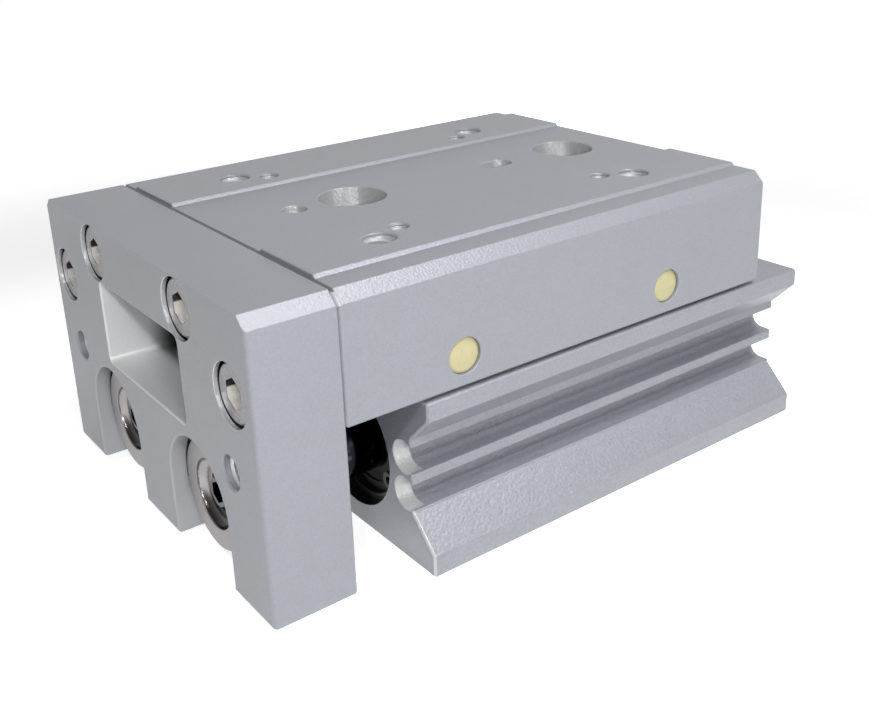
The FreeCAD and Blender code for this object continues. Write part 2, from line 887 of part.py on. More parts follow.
def make_piston_rod(y):
    """Rod with a stud for the piston behind and a neck and threaded stud in front."""
    nut_face = piston_rear + nut_pocket_depth - nut_thickness
    tip = rod_end_front - rod_stud_setback
    outline = [(nut_face - edge_break, 0.0), (nut_face - edge_break, piston_stud_radius)]
    outline += [(piston_front, piston_stud_radius), (piston_front, rod_radius), (rod_shoulder, rod_radius)]
    outline += [(rod_shoulder, neck_radius), (rod_end_back, neck_radius), (rod_end_back, rod_stud_radius)]
    outline += [(tip - rod_stud_chamfer, rod_stud_radius), (tip, rod_stud_radius - rod_stud_chamfer), (tip, 0.0)]
    rod = turn_x(outline, y, bore_height)
    depth = rod_stud_socket * socket_depth_share * 2
    socket = stand_on(hexagon(rod_stud_socket, depth), Vec(tip, y, bore_height), -ALONG_X)
    return rod.cut(socket)


def make_rod_end(y):
    """Round nut on the rod's stud, its face dished with a rounded wall."""
    stud = rod_stud_radius + fit
    rim = rod_end_radius - edge_break
    outline = [(rod_end_back, stud), (rod_end_back, rim), (rod_end_back + edge_break, rod_end_radius)]
    outline += [(rod_end_front - edge_break, rod_end_radius), (rod_end_front, rim), (rod_end_front, stud)]
    dish_floor = rod_end_dish_radius - rod_end_dish_depth
    dish = bar_x(dish_floor, rod_end_front - rod_end_dish_depth, rod_end_front, y, bore_height)
    wall = Part.makeTorus(dish_floor, rod_end_dish_depth, Vec(rod_end_front, y, bore_height), ALONG_X)
    return turn_x(outline, y, bore_height).cut([dish, wall])


def cylinder_parts():
    """Nodes that each of the two cylinders has."""
    parts = {}
    rear_clip = rear_circlip + circlip_thickness
    for name, side in SIDES:
        y = bore_line(side)
        parts["rod_cover_" + name] = make_rod_cover(y)
        parts["rod_bush_" + name] = make_rod_bush(y)
        parts["rod_seal_" + name] = make_rod_seal(y)
        parts["rod_cover_o_ring_" + name] = make_o_ring(cover_o_ring, y)
        parts["front_circlip_" + name] = make_circlip(front_circlip, y)
        parts["front_bumper_" + name] = make_front_bumper(y)
        parts["rear_bumper_" + name] = make_rear_bumper(y)
        parts["head_cap_" + name] = make_head_cap(y)
        parts["head_cap_o_ring_" + name] = make_o_ring(cap_o_ring, y)
        parts["rear_circlip_" + name] = make_circlip(rear_clip, y)
        parts["piston_" + name] = make_piston(y)
        parts["piston_seal_" + name] = make_piston_seal(y)
        parts["piston_magnet_" + name] = make_piston_magnet(y)
        parts["piston_nut_" + name] = make_piston_nut(y)
        parts["piston_rod_" + name] = make_piston_rod(y)
        parts["rod_end_" + name] = make_rod_end(y)
    return parts


def guide_parts():
    """Nodes of the crossed-roller guide."""
    parts = {
        "guide_block": make_guide_block(),
        "guide_block_screws": Part.makeCompound(make_guide_block_screws()),
        "rail_screws": Part.makeCompound(make_rail_screws()),
        "cage_stop_screws": Part.makeCompound(make_cage_stop_screws()),
        "preload_screws": Part.makeCompound(make_preload_screws()),
        "preload_plugs": Part.makeCompound(make_preload_plugs()),
    }
    for name, side in SIDES:
        parts["rail_" + name] = make_rail(side)
        parts["roller_cage_" + name] = make_cage(side)
        parts["rollers_" + name] = Part.makeCompound(make_rollers(side))
    return parts


def main():
    parts = {
        "body": make_body(),
        "table": make_table(),
        "end_plate": make_end_plate(),
        "end_plate_screws": Part.makeCompound(make_end_plate_screws()),
    }
    parts.update(guide_parts())
    parts.update(cylinder_parts())
    os.makedirs("parts", exist_ok=True)
    for name, shape in parts.items():
        shape.exportStep(os.path.join("parts", name + ".step"))


main()
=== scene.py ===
"""Looks of a twin-rod pneumatic slide table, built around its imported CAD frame.

The frame gives every piece its place. The outer aluminium parts are copied, their holes opened for
threads and their edges rounded. Each finish is a procedural material on Object coordinates.
"""

import math

import bmesh
import bpy
from bpy.props import FloatProperty, FloatVectorProperty, PointerProperty
from mathutils import Matrix, Vector


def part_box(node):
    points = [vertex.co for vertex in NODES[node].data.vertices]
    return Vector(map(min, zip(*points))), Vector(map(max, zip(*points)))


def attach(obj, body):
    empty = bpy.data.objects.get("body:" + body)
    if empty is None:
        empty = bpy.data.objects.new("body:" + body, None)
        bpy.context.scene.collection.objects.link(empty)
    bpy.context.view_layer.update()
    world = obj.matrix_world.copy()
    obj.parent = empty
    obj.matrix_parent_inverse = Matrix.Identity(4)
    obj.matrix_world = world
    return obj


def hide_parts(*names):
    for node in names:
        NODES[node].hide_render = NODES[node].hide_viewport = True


bl_info = {
    "name": "Slide table looks",
    "version": (1, 0, 0),
    "blender": (4, 5, 0),
    "location": "View3D > Sidebar > Slide Table",
    "description": "Rounds the edges, cuts the threads and dresses the finishes of a pneumatic slide table",
    "category": "Object",
}

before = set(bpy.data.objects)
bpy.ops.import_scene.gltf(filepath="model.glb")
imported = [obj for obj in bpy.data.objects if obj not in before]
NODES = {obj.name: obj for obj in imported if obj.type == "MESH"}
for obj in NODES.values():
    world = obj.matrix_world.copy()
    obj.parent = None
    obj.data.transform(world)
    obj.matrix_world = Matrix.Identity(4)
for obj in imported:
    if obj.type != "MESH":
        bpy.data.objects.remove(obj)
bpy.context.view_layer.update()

MM = 0.001
SIDES = ("left", "right")

# Places and sizes of the CAD solids, in metres
BORE_LINE = 15.0 * MM
BORE_HEIGHT = 13.4 * MM
BORE_RADIUS = 10.0 * MM
BODY_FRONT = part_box("body")[1].x
PORT_WALL = -33.4 * MM
PORTS = [(x * MM, BORE_HEIGHT) for x in (24.0, -17.0)]
GROOVE_LINE = 28.85 * MM
GROOVE_HEIGHTS = (16.7 * MM, 10.8 * MM)
GROOVE_MOUTH = 2.5 * MM
GROOVE_SIDE = 26.0 * MM
TABLE_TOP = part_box("end_plate")[1].z
LAND_HEIGHT = 0.5 * MM
CHAMFER_MIDDLE = 45.6 * MM
WORK_THREADS = [(x * MM, y * MM) for x in (37.5, -12.5) for y in (21.9, -21.9)]
RAIL_THREADS = [(x * MM, y * MM) for x in (32.5, -7.5) for y in (19.2, -19.2)]
PLATE_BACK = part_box("end_plate")[0].x
PLATE_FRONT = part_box("end_plate")[1].x
PLATE_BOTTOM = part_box("end_plate")[0].z
PLATE_THREADS = [(y * MM, 23.0 * MM) for y in (27.0, -27.0)]
PLATE_SCREWS = [(15.2 * MM, 42.1 * MM), (29.15 * MM, 34.8 * MM)]
SCREW_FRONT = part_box("end_plate_screws")[1].x
ROD_END_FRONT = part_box("rod_end_left")[1].x
WINDOW_SIDE = 14.0 * MM
WINDOW_FLOOR = 24.5 * MM
WINDOW_TOP = 37.7 * MM
SLOT_RADIUS = 9.2 * MM
SLOT_CROWN = BORE_HEIGHT + SLOT_RADIUS
WORK_HOLE_RADIUS = 2.1 * MM
PORT_HOLE_RADIUS = 4.28 * MM
RAIL_HOLE_RADIUS = 1.5 * MM

# How far finishes, painted light and painted shade reach on the solids, in metres
NEAR = 0.2 * MM
UNDER_FACE = 0.02 * MM
UNDER_LIP = 0.05 * MM
END_MARGIN = 0.4 * MM
SEAM_REACH = 0.33 * MM
CHAMFER_REACH = 0.75 * MM
BORED_SIDE = 30.0 * MM
WINDOW_CORNER = 0.6 * MM
WINDOW_SHADE = (6.5 * MM, 11.0 * MM)
HEAD_HOLE_RADIUS = 4.55 * MM
DISH_RADIUS = 5.28 * MM
WEAR_AND_HIGHLIGHT_HEIGHT = 8.7 * MM
GROOVE_FLARE = 3.2 * MM
GROOVE_LIP = 1.2 * MM

# Distances and angles at which vertices and edges count as the same, flat, sharp or smooth
WELD = 0.001 * MM
ON_WALL = 0.004 * MM
TOUCHING = 0.01 * MM
FLAT_ANGLE = math.radians(0.3)
SHARP_ANGLE = math.radians(25.0)
SMOOTH_ANGLE = math.radians(21.0)

# Length of each run of thread, and how deep it starts
WORK_RUN = 7.2 * MM
WORK_START = 7.8 * MM
PLATE_RUN = 9.2 * MM
PLATE_START = 9.8 * MM
PORT_RUN = 6.6 * MM
PORT_START = 6.9 * MM

# Ends of the threads over the rail screws: how far above the screws and under the table's top
RAIL_FOOT = 0.05 * MM
RAIL_HEAD = 0.3 * MM

# A thread's ridge: how far its foot sinks into the wall, the foot's share of the pitch, the crest's
# share of the foot, and the steps of a turn; and how far the hole's wall stands off the thread's root
RIDGE_SINK = 0.03 * MM
FOOT_SHARE = 0.94
CREST_SHARE = 0.2
TURN_STEPS = 24
WALL_GAP = 0.02 * MM

# Lamps with their places, widths and the settings of their powers, and the point that they face
LAMPS = (
    ("key_lamp", (0.20, 0.22, 0.26), 0.018, "key_power"),
    ("side_lamp", (0.135, 0.30, 0.15), 0.06, "side_power"),
    ("top_lamp", (-0.11, 0.20, 0.42), 0.12, "top_power"),
    ("back_lamp", (-0.20, -0.27, 0.022), 0.04, "back_power"),
)
AIM = (0.01, 0.0, 0.02)

# Where each change of glow starts and ends, and the glow before and after it
FLOOR_GLOW = ((0.08, 0.16, 0.22, 0.0), (0.15, 0.32, 0.58, 1.0))
SKY_GLOW = ((0.03, 0.2, 0.65, 0.35), (0.45, 0.75, 0.35, 0.0))


# Sizes and colours that a user would change


def length(name, description, millimetres):
    return FloatProperty(name=name, description=description, default=millimetres * MM, min=0.0,
                         unit="LENGTH", precision=5)


def colour(name, description, tone):
    return FloatVectorProperty(name=name, description=description, default=tone, size=3, min=0.0, max=1.0,
                               subtype="COLOR")


def power(name, description, watts):
    return FloatProperty(name=name, description=description, default=watts, min=0.0, unit="POWER")


class SlideTableSizes(bpy.types.PropertyGroup):
    """Edge breaks and threads."""

    body_edge: length("Body edge", "Edge break round the body's holes and ridges", 0.08)
    table_edge: length("Table edge", "Edge break on the table", 0.1)
    plate_edge: length("Plate edge", "Edge break on the end plate's outline and screw holes", 0.08)
    window_edge: length("Window edge", "Edge break round the end plate's window and slots", 0.3)
    steel_edge: length("Steel edge", "Edge break on screw heads and rod ends", 0.06)
    plug_edge: length("Plug edge", "Rounding of the cast plugs", 0.2)
    work_thread_pitch: length("Work thread pitch", "Pitch of the M5 threads", 0.8)
    work_thread_major: length("Work thread radius", "Root radius of the M5 threads", 2.5)
    work_thread_minor: length("Work thread crest", "Crest radius of the M5 threads", 2.08)
    rail_thread_pitch: length("Rail thread pitch", "Pitch of the M3 threads over the rail screws", 0.5)
    rail_thread_minor: length("Rail thread crest", "Crest radius of the M3 threads", 1.24)
    port_thread_pitch: length("Port thread pitch", "Pitch of the port threads", 0.907)
    port_thread_major: length("Port thread radius", "Root radius of the port threads", 4.86)
    port_thread_minor: length("Port thread crest", "Crest radius of the port threads", 4.29)


class SlideTableColours(bpy.types.PropertyGroup):
    """Tones of the finishes, and of painted light and painted shade."""

    aluminium: colour("Aluminium", "Blasted and clear anodised", (0.388, 0.403, 0.446))
    # Nearly black walls inside the cylinder bores
    bore: colour("Bores", "Hard anodised cylinder bores", (0.008, 0.008, 0.009))
    # The window's walls get a tone raised above the slots' walls: partly their machined tone, partly
    # painted light
    milled_and_painted_light: colour("Milled window", "Walls of the end plate's window", (0.86, 0.885, 0.885))
    # Painted highlight along the inner edges of the window's floor
    corners: colour("Milled corners", "Bright corners at the window's floor", (0.99, 0.99, 0.98))
    slotted: colour("Milled slots", "Walls of the end plate's slots", (0.52, 0.54, 0.56))
    counterbored: colour("Counterbored aluminium", "Walls round the screw heads", (0.74, 0.76, 0.77))
    bored: colour("Bored aluminium", "Walls of the table's holes", (0.62, 0.64, 0.645))
    # Painted shade deep in the window, in the gaps round the rod ends and screw heads, and over the upper
    # halves of the sockets
    joint: colour("Gaps", "Narrow gaps, dark with oil", (0.045, 0.045, 0.05))
    seam: colour("Seam", "Joint line between the table and the end plate", (0.2, 0.2, 0.213))
    # Edges partly rubbed bright and partly given a painted highlight
    wear_and_highlight: colour("Worn edges", "Edges rubbed bright", (0.66, 0.67, 0.67))
    cut_aluminium: colour("Cut aluminium", "Threads", (0.80, 0.81, 0.82))
    screws: colour("Screws", "Stainless socket screws of the end plate", (0.28, 0.272, 0.28))
    sockets: colour("Sockets", "Bright forged hexagon sockets", (0.93, 0.90, 0.85))
    rod_ends: colour("Rod ends", "Turned stainless rod ends", (0.36, 0.343, 0.345))
    # Painted dark reflection low in the rod ends' dishes
    painted_darkness: colour("Painted_reflection", "Film that gathers low in the rod ends' dishes", (0.07, 0.065, 0.065))
    hardened: colour("Hardened steel", "Ground rails, guide block and rollers", (0.42, 0.42, 0.43))
    dark_steel: colour("Dark steel", "Oxide black screws", (0.035, 0.034, 0.036))
    # The rods' tone is painted dark as shade
    chrome_in_painted_shade: colour("Chromed steel", "Piston rods", (0.055, 0.06, 0.078))
    dark_anodised: colour("Dark anodised", "Rod covers", (0.006, 0.006, 0.007))
    spring: colour("Spring steel", "Circlips", (0.055, 0.055, 0.055))
    alloy: colour("Cast alloy", "Pistons and head caps", (0.45, 0.455, 0.46))
    rubber: colour("Rubber", "Seals", (0.012, 0.012, 0.013))
    urethane: colour("Urethane", "Bumpers", (0.16, 0.165, 0.17))
    bronze: colour("Bronze", "Rod bushes", (0.48, 0.29, 0.12))
    cage: colour("Cage resin", "Roller cages", (0.60, 0.56, 0.47))
    magnet: colour("Bonded magnet", "Piston magnets", (0.03, 0.03, 0.032))
    plug: colour("Sealing resin", "Cast plugs", (0.76, 0.70, 0.40))
    floor: colour("Floor", "Studio floor", (0.8, 0.8, 0.8))


class SlideTableStudio(bpy.types.PropertyGroup):
    """Camera and lamps."""

    camera_place: FloatVectorProperty(name="Camera place", description="Where the camera stands",
                                      default=(0.11616, 0.14335, 0.09431), subtype="TRANSLATION",
                                      unit="LENGTH")
    camera_turn: FloatVectorProperty(name="Camera turn", description="Turn of the camera",
                                     default=[math.radians(a) for a in (70.163, 2.011, 143.342)],
                                     subtype="EULER", unit="ROTATION")
    lens: FloatProperty(name="Lens", description="Focal length", default=45.344, min=1.0, unit="CAMERA")
    rise: FloatProperty(name="Rise", description="Vertical shift of the lens", default=-0.10333)
    key_power: power("Key power", "Lamp over the near corner", 0.36)
    side_power: power("Side power", "Lamp on the groove side", 0.29)
    top_power: power("Top power", "High lamp over the rear", 1.0)
    back_power: power("Back power", "Low lamp on the port side and the rear", 0.3)


def sizes():
    return bpy.context.scene.slide_table_sizes


def colours():
    return bpy.context.scene.slide_table_colours


def studio():
    return bpy.context.scene.slide_table_studio


# Shader nodes


def put(tree, socket, value):
    """Link a socket to another socket, or set it to a plain value."""
    if isinstance(value, bpy.types.NodeSocket):
        tree.links.new(value, socket)
    else:
        socket.default_value = value


def maths(tree, operation, *values):
    node = tree.nodes.new("ShaderNodeMath")
    node.operation = operation
    for socket, value in zip(node.inputs, values):
        put(tree, socket, value)
    return node.outputs[0]


def spread_between(tree, value, low, high):
    """Map a value from 0 to 1 onto low to high."""
    node = tree.nodes.new("ShaderNodeMapRange")
    put(tree, node.inputs["Value"], value)
    put(tree, node.inputs["To Min"], low)
    put(tree, node.inputs["To Max"], high)
    return node.outputs["Result"]


def smooth_step(tree, value, start, end, low, high):
    """Go smoothly from low to high as a value goes from start to end."""
    node = tree.nodes.new("ShaderNodeMapRange")
    node.interpolation_type = "SMOOTHSTEP"
    labels = ("Value", "From Min", "From Max", "To Min", "To Max")
    for label, given in zip(labels, (value, start, end, low, high)):
        put(tree, node.inputs[label], given)
    return node.outputs["Result"]


def object_place(tree, stretch=(1.0, 1.0, 1.0)):
    place = tree.nodes.new("ShaderNodeTexCoord").outputs["Object"]
    if stretch == (1.0, 1.0, 1.0):
        return place
    mapping = tree.nodes.new("ShaderNodeMapping")
    mapping.inputs["Scale"].default_value = stretch
    tree.links.new(place, mapping.inputs["Vector"])
    return mapping.outputs["Vector"]


def noise(tree, place, scale, detail=2.0, roughness=0.5):
    node = tree.nodes.new("ShaderNodeTexNoise")
    tree.links.new(place, node.inputs["Vector"])
    put(tree, node.inputs["Scale"], scale)
    node.inputs["Detail"].default_value = detail
    node.inputs["Roughness"].default_value = roughness
    return node.outputs["Fac"]


def new_group(name, inputs, outputs):
    tree = bpy.data.node_groups.new(name, "ShaderNodeTree")
    for label, kind, value in inputs:
        socket = tree.interface.new_socket(label, in_out="INPUT", socket_type="NodeSocket" + kind)
        socket.default_value = value
    for label, kind in outputs:
        tree.interface.new_socket(label, in_out="OUTPUT", socket_type="NodeSocket" + kind)
    return tree, tree.nodes.new("NodeGroupInput").outputs, tree.nodes.new("NodeGroupOutput").inputs


def grain_group():
    """Fine dimples over slow clouds: a tone, a roughness and a height."""
    found = bpy.data.node_groups.get("Surface grain")
    if found:
        return found
    tree, given, out = new_group(
        "Surface grain",
        [("Tone", "Color", (0.5, 0.5, 0.5, 1.0)), ("Grain", "Float", 0.2 * MM),
         ("Tone Spread", "Float", 0.05), ("Smooth", "Float", 0.4), ("Rough", "Float", 0.5)],
        [("Colour", "Color"), ("Roughness", "Float"), ("Height", "Float")],
    )
    place = object_place(tree)
    scale = maths(tree, "DIVIDE", 1.0, given["Grain"])
    fine = noise(tree, place, scale, 3.0, 0.65)
    clouds = noise(tree, place, 55.0, 4.0, 0.6)
    dimples = tree.nodes.new("ShaderNodeTexVoronoi")
    tree.links.new(place, dimples.inputs["Vector"])
    tree.links.new(maths(tree, "MULTIPLY", scale, 0.7), dimples.inputs["Scale"])
    mixed = maths(tree, "MULTIPLY_ADD", fine, 0.7, maths(tree, "MULTIPLY", clouds, 0.3))
    low = maths(tree, "SUBTRACT", 1.0, given["Tone Spread"])
    high = maths(tree, "ADD", 1.0, given["Tone Spread"])
    shade = tree.nodes.new("ShaderNodeVectorMath")
    shade.operation = "SCALE"
    tree.links.new(given["Tone"], shade.inputs["Vector"])
    tree.links.new(spread_between(tree, mixed, low, high), shade.inputs["Scale"])
    tree.links.new(shade.outputs["Vector"], out["Colour"])
    blend = maths(tree, "MULTIPLY_ADD", clouds, 0.6, maths(tree, "MULTIPLY", fine, 0.4))
    tree.links.new(spread_between(tree, blend, given["Smooth"], given["Rough"]), out["Roughness"])
    grit = maths(tree, "MULTIPLY", fine, 0.8)
    height = maths(tree, "MULTIPLY_ADD", dimples.outputs["Distance"], 0.6, grit)
    tree.links.new(height, out["Height"])
    return tree


def ring_group():
    """Distance from a line along X, mirrored in Y, and fine turned rings about it.

    Its other outputs are the place along, across and above the line, and the rim of the table's top.
    """
    found = bpy.data.node_groups.get("Turned rings")
    if found:
        return found
    tree, given, out = new_group(
        "Turned rings",
        [("Line", "Float", BORE_LINE), ("Height", "Float", BORE_HEIGHT), ("Pitch", "Float", 0.2 * MM)],
        [("Radius", "Float"), ("Rings", "Float"), ("Along", "Float"), ("Across", "Float"),
         ("Up", "Float"), ("Top", "Float")],
    )
    place = object_place(tree)
    axes = tree.nodes.new("ShaderNodeSeparateXYZ")
    tree.links.new(place, axes.inputs["Vector"])
    across = maths(tree, "SUBTRACT", maths(tree, "ABSOLUTE", axes.outputs["Y"]), given["Line"])
    up = maths(tree, "SUBTRACT", axes.outputs["Z"], given["Height"])
    square = maths(tree, "MULTIPLY_ADD", across, across, maths(tree, "MULTIPLY", up, up))
    radius = maths(tree, "SQRT", square)
    tree.links.new(radius, out["Radius"])
    tree.links.new(axes.outputs["X"], out["Along"])
    tree.links.new(across, out["Across"])
    tree.links.new(up, out["Up"])
    band = maths(tree, "COMPARE", axes.outputs["Z"], TABLE_TOP - 0.2 * MM, 0.22 * MM)
    tree.links.new(band, out["Top"])
    turns = maths(tree, "MULTIPLY", maths(tree, "DIVIDE", radius, given["Pitch"]), 2.0 * math.pi)
    wander = maths(tree, "MULTIPLY", noise(tree, place, 900.0), 5.0)
    wave = maths(tree, "SINE", maths(tree, "ADD", turns, wander))
    tree.links.new(maths(tree, "MULTIPLY_ADD", wave, 0.5, 0.5), out["Rings"])
    return tree


def line_group():
    """Fine lines along X, as grinding leaves them."""
    found = bpy.data.node_groups.get("Drawn lines")
    if found:
        return found
    tree, given, out = new_group("Drawn lines", [("Spacing", "Float", 0.1 * MM)], [("Lines", "Float")])
    place = object_place(tree, (0.02, 1.0, 1.0))
    scale = maths(tree, "DIVIDE", 1.0, given["Spacing"])
    tree.links.new(noise(tree, place, scale, 3.0, 0.7), out["Lines"])
    return tree


def inner_group():
    """1 between a front and a back, between two sides and below a top, where the walls of holes lie.

    Its other output is the level marks that boring leaves.
    """
    found = bpy.data.node_groups.get("Inner walls")
    if found:
        return found
    tree, given, out = new_group(
        "Inner walls",
        [("Front", "Float", 0.0), ("Side", "Float", 0.0), ("Top", "Float", 0.0), ("Back", "Float", -1.0)],
        [("Inside", "Float"), ("Levels", "Float")],
    )
    axes = tree.nodes.new("ShaderNodeSeparateXYZ")
    tree.links.new(object_place(tree), axes.inputs["Vector"])
    turns = maths(tree, "MULTIPLY", axes.outputs["Z"], 2.0 * math.pi / (0.2 * MM))
    tree.links.new(maths(tree, "MULTIPLY_ADD", maths(tree, "SINE", turns), 0.5, 0.5), out["Levels"])
    behind = maths(tree, "MULTIPLY", maths(tree, "LESS_THAN", axes.outputs["X"], given["Front"]),
                   maths(tree, "GREATER_THAN", axes.outputs["X"], given["Back"]))
    between = maths(tree, "LESS_THAN", maths(tree, "ABSOLUTE", axes.outputs["Y"]), given["Side"])
    below = maths(tree, "LESS_THAN", axes.outputs["Z"], given["Top"])
    tree.links.new(maths(tree, "MULTIPLY", behind, maths(tree, "MULTIPLY", between, below)), out["Inside"])
    return tree


class Finish:
    """A material in the making: its tree, its shader and what feeds it."""

    def __init__(self, name, tone, metallic, grain, spread, smooth, rough, depth):
        """Grain and depth are in millimetres. Smooth and rough are the ends of the roughness."""
        self.material = bpy.data.materials.new(name)
        self.material.use_nodes = True
        self.tree = self.material.node_tree
        self.shader = self.tree.nodes["Principled BSDF"]
        self.shader.inputs["Metallic"].default_value = metallic
        surface = self.group(grain_group, Tone=(*tone, 1.0), Grain=grain * MM, Tone_Spread=spread,
                             Smooth=smooth, Rough=rough)
        self.bump = self.tree.nodes.new("ShaderNodeBump")
        self.bump.inputs["Distance"].default_value = depth * MM
        self.colour = surface["Colour"]
        self.roughness = surface["Roughness"]
        self.height = surface["Height"]
        self.link(self.colour, self.shader.inputs["Base Color"])
        self.link(self.roughness, self.shader.inputs["Roughness"])
        self.link(self.height, self.bump.inputs["Height"])
        self.link(self.bump.outputs["Normal"], self.shader.inputs["Normal"])

    def link(self, source, socket):
        self.tree.links.new(source, socket)

    def group(self, maker, **values):
        """Place a node group and set its inputs; gives its outputs."""
        node = self.tree.nodes.new("ShaderNodeGroup")
        node.node_tree = maker()
        for label, value in values.items():
            put(self.tree, node.inputs[label.replace("_", " ")], value)
        return node.outputs

    def less(self, value, limit):
        return maths(self.tree, "LESS_THAN", value, limit)

    def more(self, value, limit):
        return maths(self.tree, "GREATER_THAN", value, limit)

    def near(self, value, middle, reach):
        return maths(self.tree, "COMPARE", value, middle, reach)

    def step(self, value, start, end):
        return smooth_step(self.tree, value, start, end, 0.0, 1.0)

    def both_true(self, first, second):
        return maths(self.tree, "MULTIPLY", first, second)

    def either(self, first, second):
        return maths(self.tree, "MAXIMUM", first, second)

    def choose(self, mask, first, second):
        """The first value where the mask is 1 and the second where it is 0."""
        lift = maths(self.tree, "SUBTRACT", first, second)
        return maths(self.tree, "MULTIPLY_ADD", mask, lift, second)

    def add_height(self, value, weight):
        """Add a pattern to the height under the bump."""
        self.height = maths(self.tree, "MULTIPLY_ADD", value, weight, self.height)
        self.link(self.height, self.bump.inputs["Height"])

    def mix_colour(self, mask, tone):
        """Go from the colour so far to another tone where the mask is 1."""
        node = self.tree.nodes.new("ShaderNodeMix")
        node.data_type = "RGBA"
        self.link(mask, node.inputs["Factor"])
        colour_inputs = [socket for socket in node.inputs if socket.type == "RGBA"]
        self.link(self.colour, colour_inputs[0])
        colour_inputs[1].default_value = (*tone, 1.0)
        self.colour = [socket for socket in node.outputs if socket.type == "RGBA"][0]
        self.link(self.colour, self.shader.inputs["Base Color"])

    def mix_roughness(self, mask, other):
        """Go from the roughness so far to another value where the mask is 1."""
        self.roughness = self.choose(mask, other, self.roughness)
        self.link(self.roughness, self.shader.inputs["Roughness"])

    def mix_own(self, label, mask, other):
        """Go from the value on one of the shader's own sockets to another where the mask is 1."""
        socket = self.shader.inputs[label]
        self.link(spread_between(self.tree, mask, socket.default_value, other), socket)


def blasted_finish(name, grain=0.3, spread=0.2, depth=0.045):
    """Blasted, then clear anodised: a soft tone under a thin coat that sparkles on the grain."""
    finish = Finish(name, colours().aluminium, metallic=0.2, grain=grain, spread=spread, smooth=0.42,
                    rough=0.54, depth=depth)
    finish.shader.inputs["Coat Weight"].default_value = 0.35
    finish.shader.inputs["Coat Roughness"].default_value = 0.24
    finish.link(finish.bump.outputs["Normal"], finish.shader.inputs["Coat Normal"])
    return finish


def turned_finish(name, tone, pitch, weight, **values):
    """A finish with fine turned rings about the bores' lines."""
    finish = Finish(name, tone, **values)
    finish.add_height(finish.group(ring_group, Pitch=pitch * MM)["Rings"], weight)
    return finish.material


def table_aluminium():
    """Blasted outside, with bright bored walls in the holes, a dark line along the seam at the end plate,
    and a painted highlight, partly wear, on the chamfer beside it.
    """
    finish = blasted_finish("blasted_table")
    rear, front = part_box("table")
    walls = finish.group(inner_group, Front=front.x - END_MARGIN, Back=rear.x + END_MARGIN, Side=BORED_SIDE,
                         Top=front.z - LAND_HEIGHT - UNDER_LIP)
    finish.mix_colour(walls["Inside"], colours().bored)
    finish.mix_roughness(walls["Inside"], 0.3)
    finish.mix_own("Metallic", walls["Inside"], 0.4)
    finish.add_height(finish.both_true(walls["Inside"], walls["Levels"]), 1.0)
    place = finish.group(ring_group)
    at_plate = finish.more(place["Along"], front.x - SEAM_REACH)
    on_chamfer = finish.near(place["Up"], CHAMFER_MIDDLE - BORE_HEIGHT, CHAMFER_REACH)
    # A painted highlight, partly wear, on the chamfer at the end plate
    finish.mix_colour(finish.both_true(at_plate, on_chamfer), colours().wear_and_highlight)
    finish.mix_colour(finish.both_true(at_plate, place["Top"]), colours().seam)
    return finish.material


def plate_aluminium():
    """Blasted, with a machined window painted brighter as painted light, painted highlights along its
    floor's inner edges, painted shade at its deep end, bright counterbores, and painted shade in the gaps
    round what sits in them.
    """
    finish = blasted_finish("blasted_plate")
    rod = finish.group(ring_group)
    reach = {"Front": PLATE_FRONT - UNDER_FACE, "Back": PLATE_BACK + END_MARGIN}
    slots = finish.group(inner_group, Side=BORE_LINE + SLOT_RADIUS + NEAR, Top=SLOT_CROWN + 0.15 * MM,
                         **reach)
    finish.mix_colour(slots["Inside"], colours().slotted)
    walls = finish.group(inner_group, Side=WINDOW_SIDE + 0.5 * MM, Top=WINDOW_TOP + 0.3 * MM, **reach)
    over_slots = finish.more(rod["Up"], WINDOW_FLOOR - 0.4 * MM - BORE_HEIGHT)
    window = finish.both_true(walls["Inside"], over_slots)
    # The window's walls are painted brighter than the slots' walls as painted light
    finish.mix_colour(window, colours().milled_and_painted_light)
    # Painted highlight along the inner edges of the window's floor
    corner = finish.both_true(finish.more(rod["Across"], WINDOW_SIDE - WINDOW_CORNER - BORE_LINE),
                              finish.less(rod["Up"], WINDOW_FLOOR + WINDOW_CORNER - BORE_HEIGHT))
    finish.mix_colour(finish.both_true(window, corner), colours().corners)
    # Painted shade towards the window's deep end
    shade_start, shade_end = [PLATE_FRONT - depth for depth in WINDOW_SHADE]
    dark = finish.both_true(window, finish.step(rod["Along"], shade_start, shade_end))
    # Painted shade in the gap round each rod end
    round_rod_ends = finish.both_true(finish.less(rod["Along"], ROD_END_FRONT - 0.3 * MM),
                                      finish.less(rod["Radius"], SLOT_RADIUS + 0.1 * MM))
    dark = finish.either(dark, round_rod_ends)
    screws = [finish.group(ring_group, Line=line, Height=height) for line, height in PLATE_SCREWS]
    round_screws = finish.either(*[finish.both_true(finish.less(screw["Radius"], HEAD_HOLE_RADIUS),
                                                    finish.less(screw["Along"], reach["Front"]))
                                   for screw in screws])
    finish.mix_colour(round_screws, colours().counterbored)
    finish.mix_roughness(round_screws, 0.26)
    finish.mix_own("Metallic", round_screws, 0.6)
    # Painted shade in the gap below each screw head
    below_head = finish.less(rod["Along"], SCREW_FRONT - 0.05 * MM)
    dark = finish.either(dark, finish.both_true(round_screws, below_head))
    finish.mix_colour(dark, colours().joint)
    joint = finish.both_true(rod["Top"], finish.less(rod["Along"], PLATE_BACK + 0.32 * MM))
    finish.mix_colour(joint, colours().seam)
    return finish.material


